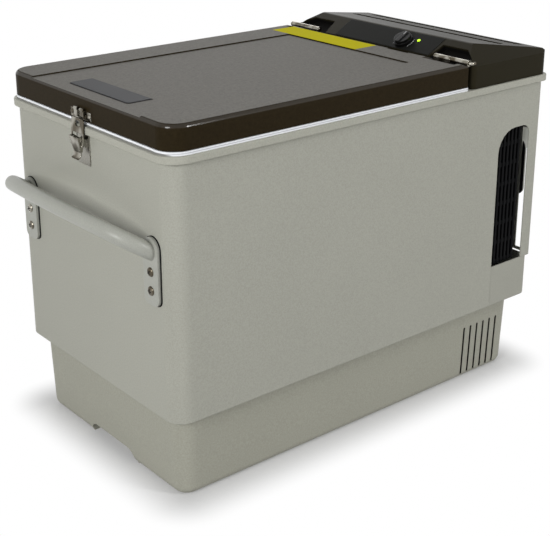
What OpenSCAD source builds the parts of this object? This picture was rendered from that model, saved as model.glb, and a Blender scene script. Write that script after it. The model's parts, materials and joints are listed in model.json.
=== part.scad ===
// Portable chest fridge: an insulated tub under a hinged lid, with a compressor bay at one end.
// X runs along the length with the compressor bay at +X, -Y is the front long side, Z is up.
// The origin is the middle of the underside.

/* [Cabinet] */
// Length of the steel cabinet without handles
cabinet_l = 647; // [610:1:700]
// Width of the steel cabinet
cabinet_w = 364; // [350:1:390]
// Height of the base tray
base_h = 115.5; // [105:0.5:130]
// Height of the painted cabinet walls
wall_h = 328.5; // [315:0.5:350]
// Thickness of the sheet steel
skin = 1.5; // [1:0.1:2]
// Cabinet corner radius at the latch end
corner_r = 24; // [18:1:28]
// Cabinet corner radius at the compressor end
rear_corner_r = 7; // [6:0.5:9]
// Width of the turned-in flange under the cabinet walls
flange_w = 22; // [20:0.5:26]

/* [Base tray] */
// Step in from the cabinet wall to the top of the tray
base_inset = 13.7; // [12:0.1:15]
// Lean of the tray wall from top to bottom
base_lean = 4; // [2:0.5:6]
// Radius of the tray's bottom edge
base_edge_r = 12; // [8:1:15]
// Wall and floor of the tray
base_wall = 3; // [2.5:0.1:4]
// Number of cooling slots on each side
base_slots = 6; // [4:1:7]
// Distance between cooling slots
base_slot_pitch = 13.8; // [12:0.1:15]
// Width of a cooling slot
base_slot_w = 4.2; // [3:0.1:6]
// Height of the top of the cooling slots
base_slot_top = 83; // [70:1:90]
// Distance of the last slot from the cabinet end
base_slot_end = 53; // [48:1:60]
// Width of the finger pocket in the end
pocket_w = 108; // [90:1:120]
// Height of the finger pocket
pocket_h = 17; // [14:1:20]
// Width of the shallow panel above the pocket
pocket_panel_w = 86; // [70:1:88]

/* [Compressor bay] */
// Distance from the cabinet end to the front of the control housing
bay_l = 156; // [150:1:166]
// Distance from the cabinet end to the side vent
vent_end = 23.5; // [20:0.5:28]
// Width of a side vent
vent_w = 65; // [58:1:70]
// Height of a side vent
vent_h = 206; // [180:1:215]
// Height of the low bay panel under the vents
low_panel_h = 61.5; // [55:0.5:65]
// Large upper corner radius of a vent
vent_big_r = 34; // [24:1:40]
// Small upper corner radius of a vent
vent_small_r = 14; // [8:1:18]
// Step in of the low bay panel at the end
low_panel_step = 6.5; // [5:0.5:8]
// Distance from the cabinet side to a post that carries the rear handle
post_in = 27.5; // [26:0.5:30]
// Width of such a post
post_w = 26.5; // [25:0.5:27]
// Width of the open strip beside a post
strip_w = 11; // [8:0.5:12]
// Distance from the cabinet side to the middle of the mains inlet
mains_in = 64; // [60:1:75]
// Distance between the two inlets
inlet_gap = 52; // [46:1:60]

/* [Rim and tub] */
// Height of the painted rim
rim_h = 9.5; // [7:0.5:11]
// How far the rim stands out from the wall
rim_proud = 6.5; // [5:0.5:8]
// Height of the white tub flange
tub_flange_h = 4.5; // [3.5:0.5:7]
// Wall of the tub
tub_wall = 2.5; // [2:0.1:3]
// Insulation at the latch end
foam_end = 38; // [34:1:44]
// Insulation along the sides
foam_side = 36; // [34:1:40]
// Insulation under the tub
foam_floor = 88; // [75:1:98]
// Insulation between tub and compressor bay
foam_bay = 56; // [48:1:66]
// Corner radius of the tub
tub_r = 30; // [26:1:36]
// Radius along the tub floor
tub_floor_r = 18; // [12:1:22]

/* [Lid] */
// Height of the lid
lid_h = 31.2; // [28:0.1:34]
// How far the lid stands out from the wall
lid_proud = 3; // [2:0.5:4]
// Radius of the lid's upper edge
lid_edge_r = 6; // [5:0.5:7]
// Wall of the lid skirt
lid_wall = 3; // [2.5:0.1:3.5]
// Thickness of the lid top
lid_top = 5; // [4.5:0.1:6]
// Depth of the sunk panel in the lid top
lid_sink = 1.8; // [1:0.1:2]
// Half width of the sunk panel
lid_panel_half = 125; // [110:1:130]
// Distance from the lid's hinge edge to the sunk panel
lid_panel_back = 52; // [46:1:60]
// Depth of the lid plug in the tub
plug_h = 13; // [9:1:16]
// Room between the plug and the tub
plug_gap = 7; // [6:0.5:9]
// Gap between lid and control housing
hinge_gap = 8.5; // [8:0.1:10]
// Length of the hinge notches in the lid
notch_l = 17; // [14:0.5:19]
// Depth of the hinge notches at the hinge edge
notch_h = 9; // [7:0.5:9.5]
// Width of the notch that clears the knob
knob_notch_w = 40; // [34:1:44]
// Length of the notch that clears the knob
knob_notch = 12; // [10:0.5:14]
// Distance from the middle of the knob to the middle of its notch
knob_notch_shift = -18; // [-20:1:0]

/* [Hinges] */
// Outer radius of a hinge barrel
barrel_r = 4.2; // [4:0.1:4.4]
// Length of a hinge barrel
barrel_l = 62; // [54:1:66]
// Distance of the barrel's outer end from the cabinet side
barrel_end = 0; // [0:0.5:3]
// Radius of a hinge pin
pin_r = 2.2; // [1.8:0.1:2.5]
// Running clearance on a pin
pin_clear = 0.06; // [0.03:0.01:0.09]
// Thickness of a hinge leaf
leaf_t = 1.5; // [1.2:0.1:1.8]

/* [Control housing] */
// Height of the housing over the rim
house_h = 54.5; // [52:0.5:60]
// Height of the housing's low end
house_low_h = 35.5; // [33:0.5:40]
// Distance from the housing front to its ridge
house_ridge = 33.5; // [31:0.5:38]
// Rise of the housing shoulder line over the rim
house_shoulder = 31; // [29:0.5:34]
// Wall of the housing
house_wall = 3; // [2.5:0.1:4]
// Length of the control panel
panel_l = 192; // [170:1:198]
// Width of the control panel
panel_w = 38; // [34:0.5:38]
// Shift of the panel's middle along the housing
panel_shift = -9.5; // [-14:0.5:14]
// Radius of the control knob
knob_r = 14; // [12:0.5:14.5]
// Height of the control knob
knob_h = 9.5; // [8.5:0.5:11]
// Place of the knob along the housing
knob_y = -44; // [-60:1:-20]
// Place of the knob up the slope
knob_s = 10; // [9:0.5:14]
// Distance from the knob to the power light
light_gap = 22.5; // [18:0.5:26]
// Louvre slots in each top trough
louvres = 47; // [30:1:48]
// Distance between louvre slots
louvre_pitch = 6.2; // [5.6:0.1:6.3]
// Width of a louvre slot
louvre_w = 3; // [2.5:0.1:3.6]
// Radius of the housing's ridge
ridge_r = 8; // [6:0.5:9]
// Radius of the housing's front corners
house_front_r = 9; // [6:0.5:10]

/* [Handles] */
// Radius of the handle tube
tube_r = 10; // [8.5:0.5:11]
// Distance from the cabinet side to the middle of a strap plate
strap_in = 38.5; // [37:0.5:44]
// Reach of the handle from the wall to its outside
handle_reach = 64.5; // [60:0.5:72]
// Radius of the bow along the tube
bow_r = 430; // [400:10:800]
// Radius of the bend at each end of the tube
bend_r = 44; // [38:1:50]
// Upward lean of the handle
handle_lean = 33.5; // [30:0.5:40]
// Height of the tube's ends over the base tray
handle_z = 217.5; // [205:0.5:222]
// Width of a strap plate
strap_w = 30; // [28:0.5:32]
// Height of a strap plate
strap_h = 85; // [82:0.5:90]
// Thickness of a strap plate
strap_t = 3.5; // [3:0.1:4]
// Thickness of the pad behind a strap plate
pad_t = 1.5; // [1:0.1:2]
// Distance between the two screws of a strap plate
strap_pitch = 24; // [20:0.5:26]

/* [Latch] */
// Width of the latch base
latch_w = 26; // [24:0.5:28]
// Height of the latch base
latch_h = 41; // [40:0.5:46]
// Drop of the latch base's top below the rim
latch_drop = 0.5; // [0.3:0.1:2]
// Stand-off of the lever pivot from the wall
pivot_out = 9.5; // [9:0.1:11]
// Radius of the lever pivot pin
pivot_r = 2; // [1.8:0.1:2.2]
// Width of the lever
lever_w = 20; // [19:0.5:21]
// Half width of a bail arm
arm_half = 1.6; // [1.4:0.1:1.8]
// Half distance between the bail arms
bail_half = 12.6; // [12.5:0.1:14]
// Length of the bail from its pivot to its cross bar
bail_l = 33; // [32:0.5:34]

/* [Machinery] */
// Radius of the compressor shell
shell_r = 50; // [44:1:52]
// Length of the compressor shell
shell_l = 170; // [150:1:190]
// Distance from the middle of the compressor to a saddle
saddle_y = 52; // [40:1:60]
// Height of a rubber foot under a saddle
mount_h = 12; // [10:0.5:14]
// Height of the evaporator band
evaporator_h = 160; // [140:1:190]
// Distance from the tub's underside to the evaporator band
evaporator_low = 60; // [45:1:70]
// Radius of the fan blades
fan_r = 58; // [50:1:60]
// Blades on the fan
fan_blades = 7; // [5:1:9]
// Fins on the condenser
fins = 22; // [16:1:26]
// Distance between condenser fins
fin_pitch = 6.5; // [5.5:0.1:7]
// Depth of the condenser
condenser_d = 22; // [18:0.5:24]
// Reach of the condenser above and below the fan
condenser_over = 22; // [16:0.5:24]
// Length of the filter drier
drier_l = 94; // [84:1:100]
// Radius of the filter drier
drier_r = 10; // [8:0.5:11]
// Length of the power board
board_l = 140; // [120:1:150]
// Height of the power board
board_h = 70; // [60:1:76]
// Thickness of the power board's case
board_t = 22; // [18:0.5:24]
// Outer radius of the refrigerant pipes
pipe_r = 3.2; // [2.5:0.1:4]

/* [Hidden] */
$fn = 48;
half_l = cabinet_l / 2;
half_w = cabinet_w / 2;
slack = 0.3;
inner_gap = 0.5;
// A swept profile stops this far from the axis of its corners, and the flat in the middle laps over it
seam = 1;
// Heights of the stack
wall_top = base_h + wall_h;
rim_top = wall_top + rim_h;
flange_top = rim_top + tub_flange_h;
lid_z0 = flange_top + 0.8;
lid_z1 = lid_z0 + lid_h;
// Places along the length
house_x0 = half_l - bay_l;
house_x1 = half_l + rim_proud - 4;
lid_x0 = -half_l - lid_proud + 1;
lid_x1 = house_x0 - hinge_gap;
lid_half = half_w + lid_proud;
lid_r = corner_r + lid_proud;
// Underside of the lid liner
liner_z = lid_z0 + 2.4;
axis_x = house_x0 - hinge_gap / 2 - 0.2;
axis_z = lid_z1;
bulk_x = house_x0 - 13;
low_x1 = half_l - low_panel_step;
base_x0 = -half_l + base_inset;
base_x1 = low_x1 - base_inset;
base_half = half_w - base_inset;
// Side vents
vent_x1 = half_l - vent_end;
vent_x0 = vent_x1 - vent_w;
vent_z0 = base_h + low_panel_h;
vent_z1 = vent_z0 + vent_h;
// End window and inlets
strip_y = half_w - post_in;
window_half = strip_y - post_w;
mains_y = half_w - mains_in;
battery_y = mains_y - inlet_gap;
inlet_z = base_h + low_panel_h / 2;
mains_r = 15;
battery_r = 10;
// Tub
tub_x0 = -half_l + foam_end;
tub_x1 = bulk_x - foam_bay;
tub_half = half_w - foam_side;
tub_z0 = foam_floor + base_wall;
// Control housing's sloping front
slope_x0 = house_x0 + 2.5;
slope_z0 = lid_z1 + 1;
ridge_x = house_x0 + house_ridge;
ridge_z = rim_top + house_h;
slope_a = atan2(ridge_z - slope_z0, ridge_x - slope_x0);
slope_l = norm([ridge_x - slope_x0, ridge_z - slope_z0]);
low_z = rim_top + house_low_h;
top_a = atan2(ridge_z - low_z, house_x1 - ridge_x);
panel_t = 1.6;
panel_s = slope_l - 3.4 - panel_w / 2;
light_s = panel_s + 5;
knob_bore = 4;
pocket_y = half_w - barrel_end - barrel_l - 13;
// Handles
handle_half = half_w - strap_in;
strap_z1 = base_h + handle_z + strap_w / 2 + 2;
strap_z0 = strap_z1 - strap_h;
strap_screw_z = strap_z0 + 18;
screw_r = 2.6;
handle_d = (handle_reach - tube_r - pad_t - strap_t) / cos(handle_lean);
bow_vector = [bow_r - handle_d, handle_half];
bow_len = norm(bow_vector);
bow_a = atan2(bow_vector[1], bow_vector[0]);
bow_long = bow_r - bend_r;
bow_a1 = bow_a - acos((bow_long ^ 2 + bow_len ^ 2 - bend_r ^ 2) / (2 * bow_long * bow_len));
bow_a2 = bow_a + acos((bend_r ^ 2 + bow_len ^ 2 - bow_long ^ 2) / (2 * bend_r * bow_len));
// The bent ends of the tube are drawn a little thinner than the bow and reach into it
drawn = 0.1;
// Latch
latch_z1 = wall_top - latch_drop;
latch_z0 = latch_z1 - latch_h;
plate_t = 1.5;
pivot_x = -half_l - pivot_out;
pivot_z = latch_z1 - 7;
bail_x = pivot_x - 1;
bail_z = pivot_z - 7;
sheet_t = 1.2;
// The lever's cheeks draw together towards its tip by this angle
lever_taper = 5.5;
stub_r = arm_half - 0.2;
keeper_half = 23;
keeper_screw_y = keeper_half - 3;
keeper_screw_z = lid_z0 + 7.9;
keeper_screw_r = 1.6;
// Machinery
shell_x = house_x0 + 68;
shell_z = base_wall + mount_h + 6 + shell_r;
fan_z = (vent_z0 + vent_z1) / 2;
fan_x = house_x0 + 78;
fan_x0 = fan_x - 16;
cond_x0 = fan_x + 22;
cond_x1 = cond_x0 + condenser_d;
cond_half = fins * fin_pitch / 2;
cond_z0 = fan_z - fan_r - condenser_over;
cond_z1 = fan_z + fan_r + condenser_over;
// Places where the pipes join the condenser's tubes and the compressor's ports
tube_in = 15;
tube_over = 8;
port_y = 30;
drier_x = bulk_x + skin + drier_r + 12;
drier_y = 110;
drier_z = fan_z - 40;

paint = "#a0a196";
dark = "#2d261e";
black = "#17181a";
steel = "#c8c8c4";
white = "#f2f4f6";
copper = "#b0703c";

// Points of an arc from angle a0 to a1
function arc(c, r, a0, a1, n = 6) =
    [for (i = [0 : n]) let (a = a0 + (a1 - a0) * i / n) c + r * [cos(a), sin(a)]];

// Rectangle from x0 to x1 with radius r0 at the x0 corners and r1 at the x1 corners
module outline(x0, x1, half, r0, r1) {
    translate([x0 + r0, -half]) square([x1 - r1 - x0 - r0, 2 * half]);
    translate([x0, r0 - half]) square([r0, 2 * (half - r0)]);
    translate([x1 - r1, r1 - half]) square([r1, 2 * (half - r1)]);
    for (s = [-1, 1]) {
        translate([x0 + r0, s * (half - r0)]) circle(r0);
        translate([x1 - r1, s * (half - r1)]) circle(r1);
    }
}

// Carries a profile round that rectangle; the profile's x runs inwards from the outer edge
module sweep(x0, x1, half, r0, r1) {
    for (m = [0, 1]) mirror([0, m, 0]) {
        translate([x0 + r0, -half, 0]) rotate([90, 0, 90]) linear_extrude(x1 - r1 - x0 - r0) children();
        translate([x0 + r0, r0 - half, 0]) rotate([0, 0, 180]) rotate_extrude(angle = 90)
            translate([r0, 0]) mirror([1, 0]) children();
        translate([x1 - r1, r1 - half, 0]) rotate([0, 0, 270]) rotate_extrude(angle = 90)
            translate([r1, 0]) mirror([1, 0]) children();
    }
    translate([x0, half - r0, 0]) rotate([90, 0, 0]) linear_extrude(2 * (half - r0)) children();
    translate([x1, half - r1, 0]) mirror([1, 0, 0]) rotate([90, 0, 0])
        linear_extrude(2 * (half - r1)) children();
}

// Box from corner to corner
module block(lo, hi) {
    translate(lo) cube(hi - lo);
}

// Flat floor inside a sweep of corner radius r
module lapped_flat(x0, x1, half, r, z0, z1) {
    in = r - 2 * seam;
    block([x0 + in, in - half, z0], [x1 - in, half - in, z1]);
}

// Round bar along Y between two places
module bar_y(x, z, r, y0, y1) {
    translate([x, y0, z]) rotate([-90, 0, 0]) cylinder(r = r, h = y1 - y0);
}

// Round bar along X between two places
module bar_x(y, z, r, x0, x1) {
    translate([x0, y, z]) rotate([0, 90, 0]) cylinder(r = r, h = x1 - x0);
}

// Pipe through a list of points with brazed round elbows
module pipe(points, r) {
    for (i = [0 : len(points) - 2]) {
        d = points[i + 1] - points[i];
        translate(points[i]) rotate([0, acos(d[2] / norm(d)), atan2(d[1], d[0])])
            cylinder(r = r, h = norm(d));
    }
    for (i = [1 : len(points) - 2]) translate(points[i]) sphere(r * 1.08);
}

// Tray: leaning walls on a rounded bottom edge, cooling slots and a finger pocket
module base_tray() {
    r = corner_r;
    lean_in = base_lean;
    pocket_x = base_x0 + base_lean + 20;
    slot_x1 = half_l - base_slot_end;
    slot_y1 = 24 - base_half;
    color("#8d8a7f") difference() {
        union() {
            sweep(base_x0, base_x1, base_half, r, r) polygon(concat(
                [[0, base_h]], arc([lean_in + base_edge_r, base_edge_r], base_edge_r, 180, 270),
                [[r - seam, 0], [r - seam, base_wall]],
                arc([lean_in + base_edge_r, base_edge_r], base_edge_r - base_wall, 270, 180),
                [[base_wall, base_h]]));
            lapped_flat(base_x0, base_x1, base_half, r, 0, base_wall);
            block([base_x0 + base_lean + 5, -pocket_w / 2 - base_wall, 0],
                [pocket_x + base_wall, pocket_w / 2 + base_wall, pocket_h + base_wall]);
        }
        for (m = [0, 1], i = [0 : base_slots - 1]) mirror([0, m, 0]) {
            x = slot_x1 - i * base_slot_pitch;
            r = base_slot_w / 2;
            block([x - r, -half_w, base_wall + 5], [x + r, slot_y1, base_slot_top]);
            bar_y(x, base_slot_top, r, -half_w, slot_y1);
        }
        block([base_x0 - 1, -pocket_w / 2 + pocket_h, -1], [pocket_x, pocket_w / 2 - pocket_h, pocket_h]);
        for (s = [-1, 1]) bar_x(s * (pocket_w / 2 - pocket_h), 0, pocket_h, base_x0 - 1, pocket_x);
        translate([base_x0, 0, pocket_h + 3]) rotate([0, -atan2(base_lean, base_h), 0])
            block([-1, -pocket_panel_w / 2, 0], [base_wall / 2, pocket_panel_w / 2, base_h]);
    }
}

// Sheet steel wrap: latch end and both long sides, with the vents and a turned-in lower flange
module cabinet_wrap() {
    color(paint) difference() {
        union() {
            translate([0, 0, base_h]) linear_extrude(wall_h) difference() {
                outline(-half_l, half_l, half_w, corner_r, rear_corner_r);
                outline(skin - half_l, half_l - skin, half_w - skin, corner_r - skin, rear_corner_r - skin);
            }
            translate([0, 0, base_h]) linear_extrude(skin) difference() {
                outline(-half_l, half_l, half_w, corner_r, rear_corner_r);
                outline(flange_w - half_l, half_l + 1, half_w - flange_w, corner_r, rear_corner_r);
            }
        }
        block([vent_x0, -half_w - 1, base_h - 1], [half_l + 1, half_w + 1, vent_z0]);
        block([half_l - rear_corner_r, -half_w + 14, base_h], [half_l + 1, half_w - 14, wall_top + 1]);
        for (m = [0, 1]) mirror([0, m, 0]) vent_cut(half_w + 1, half_w - 2 * skin);
        strap_holes(-half_l - 1, skin - half_l + 1);
    }
}

// Opening of a side vent: square below, unequal round corners above
module vent_cut(y0, y1) {
    translate([0, -y1, 0]) rotate([90, 0, 0]) linear_extrude(y0 - y1) polygon(concat(
        [[vent_x0, vent_z0 - 0.01], [vent_x1, vent_z0 - 0.01]],
        arc([vent_x1 - vent_small_r, vent_z1 - vent_small_r], vent_small_r, 0, 90),
        arc([vent_x0 + vent_big_r, vent_z1 - vent_big_r], vent_big_r, 90, 180)));
}

// Upper end sheet with the grille window, two handle posts and an open strip at each side
module end_panel() {
    window_top = vent_z1 - 14;
    x1 = half_l - skin;
    color(paint) difference() {
        block([x1 - skin, rear_corner_r - half_w, vent_z0 + slack], [x1, half_w - rear_corner_r, wall_top]);
        block([x1 - skin - 1, -window_half, vent_z0 + 5], [x1 + 1, window_half, window_top]);
        for (m = [0, 1]) mirror([0, m, 0])
            block([x1 - skin - 1, strip_y, vent_z0 + 5], [x1 + 1, strip_y + strip_w, window_top]);
        strap_holes(x1 - skin - 1, x1 + 1);
    }
}

// Low sheet round the compressor bay, stepped in at the end, with the inlet cut-outs
module low_bay_panel() {
    floor_cut = 2 * skin;
    color("#9c9d92") difference() {
        low_form(0);
        low_form(skin);
        block([vent_x0 - 60, -half_w, base_h - 1], [vent_x0 + slack, half_w, vent_z0 + 1]);
        block([vent_x0 - 1, flange_w - half_w, base_h - 1],
            [low_x1 - flange_w, half_w - flange_w, base_h + floor_cut]);
        bar_x(mains_y, inlet_z, mains_r, low_x1 - 5, low_x1 + 5);
        bar_x(battery_y, inlet_z, battery_r, low_x1 - 5, low_x1 + 5);
    }
}

// Form of the low sheet, inset by t, open above
module low_form(t) {
    z1 = vent_z0 + (t > 0 ? 1 : 0);
    edge_r = 10 - t;
    intersection() {
        translate([0, 0, base_h - 1]) linear_extrude(low_panel_h + 3)
            outline(vent_x0 - 50, low_x1 - t, half_w - 0.6 - t, 3, 8 - t);
        translate([0, half_w, 0]) rotate([90, 0, 0]) linear_extrude(cabinet_w) polygon(concat(
            [[vent_x0 - 50, z1], [vent_x0 - 50, base_h + t]],
            arc([low_x1 - t - edge_r, base_h + t + edge_r], edge_r, 270, 360), [[low_x1 - t, z1]]));
    }
}

// Painted rim round the top of the cabinet
module top_rim() {
    low_r = 1.2;
    top_r = 1.5;
    out = half_l + rim_proud;
    wide = rim_proud + skin + 4;
    color("#a6a79b") translate([0, 0, wall_top])
        sweep(-out, out, half_w + rim_proud, corner_r + rim_proud, rear_corner_r + rim_proud)
            polygon(concat(arc([low_r, low_r], low_r, 270, 180), arc([top_r, rim_h - top_r], top_r, 180, 90),
                [[wide, rim_h], [wide, 0]]));
}

// White tub with a rounded floor and the flange that shows under the lid
module inner_tub() {
    ft = tub_flange_h;
    color(white) {
        sweep(tub_x0, tub_x1, tub_half, tub_r, tub_r) polygon(concat(
            [[0, rim_top + ft]], arc([tub_floor_r, tub_z0 + tub_floor_r], tub_floor_r, 180, 270),
            [[tub_r - seam, tub_z0], [tub_r - seam, tub_z0 + tub_wall]],
            arc([tub_floor_r, tub_z0 + tub_floor_r], tub_floor_r - tub_wall, 270, 180),
            [[tub_wall, rim_top + ft]]));
        lapped_flat(tub_x0, tub_x1, tub_half, tub_r, tub_z0, tub_z0 + tub_wall);
        translate([0, 0, rim_top]) linear_extrude(ft) difference() {
            outline(lid_x0 - 0.5, lid_x1 + 2, lid_half + 0.2, lid_r, 2);
            outline(tub_x0 + 1, tub_x1 - 1, tub_half - 1, tub_r - 1, tub_r - 1);
        }
    }
}

// Aluminium evaporator band round the outside of the tub
module evaporator() {
    near = 0.4;
    far = 2.2;
    color("#c9ccce") translate([0, 0, tub_z0 + evaporator_low]) linear_extrude(evaporator_h) difference() {
        outline(tub_x0 - far, tub_x1 + far, tub_half + far, tub_r + far, tub_r + far);
        outline(tub_x0 - near, tub_x1 + near, tub_half + near, tub_r + near, tub_r + near);
    }
}

// Foam between tub and cabinet, with the narrower part that fills the tray
module insulation_foam() {
    g = skin + inner_gap;
    low_g = base_inset + base_lean + base_wall + 1;
    color("#e3d9b4") difference() {
        union() {
            translate([0, 0, base_h + g]) linear_extrude(wall_h - g - inner_gap)
                outline(g - half_l, bulk_x, half_w - g, corner_r - g, 2);
            translate([0, 0, base_wall + inner_gap]) linear_extrude(base_h)
                outline(low_g + 24 - half_l, bulk_x, half_w - low_g - 12, 10, 2);
        }
        translate([0, 0, tub_z0 - inner_gap]) linear_extrude(wall_h + base_h)
            outline(tub_x0 - 3, tub_x1 + 3, tub_half + 3, tub_r + 3, tub_r + 3);
    }
}

// Sheet steel wall between foam and compressor bay
module bulkhead() {
    g = skin + inner_gap;
    low_half = base_half - base_lean - base_wall - 9;
    color("#8f9294") {
        block([bulk_x, g - half_w, base_h + g], [bulk_x + skin, half_w - g, wall_top - inner_gap]);
        block([bulk_x, -low_half, base_wall], [bulk_x + skin, low_half, base_h + g + 1]);
    }
}

// Black lattice behind each side vent, held off the sheet by a strip above and one beside it
module side_grilles() {
    bar_w = 3.8;
    x0 = vent_x0 - 6;
    x1 = vent_x1 - 12;
    wall_y = half_w - skin;
    y = wall_y - 4;
    z0 = vent_z0 + 1;
    z1 = vent_z1 + 8;
    bars = 8;
    ribs = 8;
    rib_w = 6;
    bar_step = (x1 - x0 - bar_w) / (bars - 1);
    rib_step = (z1 - z0 - rib_w) / (ribs - 1);
    color(black) for (m = [0, 1]) mirror([0, m, 0]) {
        for (i = [0 : bars - 1]) translate([x0 + i * bar_step, 0, 0])
            block([0, -y, z0], [bar_w, 5 - y, z1]);
        for (i = [0 : ribs - 1]) translate([0, 0, z0 + i * rib_step])
            block([x0, 1 - y, 0], [x1, 4 - y, rib_w]);
        block([x0, -wall_y, z0], [x0 + bar_w, 5 - y, z1]);
        block([x0, -wall_y, z1 - rib_w], [x1, 5 - y, z1]);
    }
}

// Black lattice behind the end window
module end_grille() {
    x1 = half_l - 2 * skin;
    half = window_half + 4;
    z0 = vent_z0 + 1;
    z1 = vent_z1 - 10;
    bars = 31;
    ribs = 8;
    bar_w = 3;
    rib_w = 6;
    bar_step = (2 * half - bar_w) / (bars - 1);
    rib_step = (z1 - z0 - rib_w) / (ribs - 1);
    color(black) {
        for (i = [0 : bars - 1]) translate([0, i * bar_step - half, 0])
            block([x1 - 5, 0, z0], [x1, bar_w, z1]);
        for (i = [0 : ribs - 1]) translate([0, 0, z0 + i * rib_step])
            block([x1 - 4, -half, 0], [x1 - 1, half, rib_w]);
    }
}

// Sealed compressor: a welded drum with domed ends on two saddles
module compressor() {
    dome = 14;
    half = shell_l / 2;
    saddle_half = shell_r - 6;
    saddle_w = 16;
    foot_z = base_wall + mount_h;
    color("#26282a") {
        translate([shell_x, half, shell_z]) rotate([90, 0, 0]) rotate_extrude() polygon(concat(
            [[0, 0]], arc([shell_r - dome, dome], dome, 270, 360),
            arc([shell_r - dome, shell_l - dome], dome, 0, 90), [[0, shell_l]]));
        bar_y(shell_x, shell_z, shell_r + 2, -4, 4);
        for (s = [-1, 1]) difference() {
            translate([shell_x, s * saddle_y, 0])
                block([-saddle_half, -saddle_w / 2, foot_z], [saddle_half, saddle_w / 2, shell_z - 20]);
            bar_y(shell_x, shell_z, shell_r - 0.5, s * saddle_y - saddle_w, s * saddle_y + saddle_w);
        }
        for (s = [-1, 1]) translate([shell_x, s * port_y, shell_z]) cylinder(r = 6, h = shell_r + 8);
    }
}

// Rubber feet under the compressor saddles
module compressor_mounts() {
    r = 9;
    waist_r = 6;
    x = shell_r - 12;
    color("#1c1c1c") for (m = [-1, 1], s = [-1, 1]) translate([shell_x + m * x, s * saddle_y, base_wall])
        rotate_extrude() polygon([[0, 0], [r, 0], [r, mount_h / 3], [waist_r, mount_h / 2],
            [r, mount_h * 2 / 3], [r, mount_h], [0, mount_h]]);
}

// Condenser: a pack of fins on three tubes between two end plates
module condenser() {
    tube = 4;
    color("#3a3c3e") {
        for (i = [0 : fins]) block([cond_x0, i * fin_pitch - cond_half - 0.4, cond_z0],
            [cond_x1, i * fin_pitch - cond_half + 0.4, cond_z1]);
        for (z = [cond_z0 + tube_in, fan_z, cond_z1 - tube_in])
            bar_y((cond_x0 + cond_x1) / 2, z, tube, -cond_half - tube_over, cond_half + tube_over);
        for (s = [-1, 1]) block([bulk_x + skin, s * (cond_half - 1) - 1, cond_z0 - 12],
            [cond_x1, s * (cond_half - 1) + 1, cond_z0 + 8]);
    }
}

// Fan shroud with a round throat and the motor on three arms
module fan_shroud() {
    x0 = fan_x0;
    half = fan_r + 8;
    color(black) {
        difference() {
            block([x0, -half, fan_z - half], [cond_x0, half, fan_z + half]);
            bar_x(0, fan_z, fan_r + 3, x0 - 1, cond_x0 + 1);
        }
        difference() {
            union() {
                bar_x(0, fan_z, 19, x0, x0 + 12);
                for (a = [90, 210, 330]) translate([0, 0, fan_z]) rotate([a, 0, 0])
                    block([x0, 0, -4], [x0 + 5, fan_r + 4, 4]);
            }
            bar_x(0, fan_z, 3 + pin_clear, x0 + 4, x0 + 13);
        }
    }
}

// Fan: pitched blades on a hub with its own shaft
module fan_rotor() {
    x0 = fan_x0;
    color("#2b2d30") {
        bar_x(0, fan_z, 18, x0 + 14, x0 + 30);
        bar_x(0, fan_z, 3, x0 + 5, x0 + 15);
        for (i = [0 : fan_blades - 1]) translate([x0 + 22, 0, fan_z]) rotate([i * 360 / fan_blades, 0, 0])
            rotate([0, 38, 0]) block([-9, 15, -1], [9, fan_r, 1]);
    }
}

// Filter drier: a copper capsule on the liquid line
module filter_drier() {
    neck_r = 4;
    neck_l = 10;
    color(copper) translate([drier_x, drier_y, drier_z]) rotate_extrude() polygon([[0, 0], [neck_r, 0],
        [neck_r, neck_l], [drier_r, 2 * neck_l], [drier_r, drier_l - 2 * neck_l],
        [neck_r, drier_l - neck_l], [neck_r, drier_l], [0, drier_l]]);
}

// Copper pipes from compressor to condenser, on to the drier, into the tub wall and back
module refrigerant_pipes() {
    mid_x = (cond_x0 + cond_x1) / 2;
    wall_x = bulk_x + skin;
    top = shell_z + shell_r + 8;
    turn_z = top + 14;
    end_y = cond_half + tube_over;
    out_y = end_y + 16;
    drop_z = drier_z - 16;
    color(copper) {
        pipe([[shell_x, port_y, top], [shell_x, port_y, turn_z], [mid_x, out_y, turn_z],
            [mid_x, out_y, cond_z0 + tube_in], [mid_x, end_y, cond_z0 + tube_in]], pipe_r);
        pipe([[mid_x, end_y, cond_z1 - tube_in], [mid_x, out_y, cond_z1 - tube_in],
            [drier_x, drier_y, cond_z1 - tube_in], [drier_x, drier_y, drier_z + drier_l]], pipe_r);
        pipe([[drier_x, drier_y, drier_z], [drier_x, drier_y, drop_z], [wall_x, drier_y, drop_z]], pipe_r);
        pipe([[shell_x, -port_y, top], [shell_x, -port_y, turn_z], [wall_x, -port_y, turn_z]], pipe_r);
    }
}

// Power board with its ribbed cooling plate on the bulkhead
module power_board() {
    x0 = bulk_x + skin;
    y0 = -120;
    z1 = wall_top - 14;
    z0 = z1 - board_h;
    ribs = 10;
    rib_pitch = (board_l - 20) / (ribs - 1);
    color("#5b6064") {
        block([x0, y0, z0], [x0 + board_t, y0 + board_l, z1]);
        for (i = [0 : ribs - 1]) translate([0, y0 + 10 + i * rib_pitch, 0])
            block([x0 + board_t - 1, -2, z0 + 6], [x0 + board_t + 10, 2, z1 - 6]);
    }
}

// Mains inlet: a round cup with two contact pins
module ac_inlet() {
    inlet(mains_y, mains_r, [-6, 6]);
}

// Battery inlet: a smaller round cup with three contact pins
module dc_inlet() {
    inlet(battery_y, battery_r, [-4.2, 0, 4.2]);
}

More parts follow.
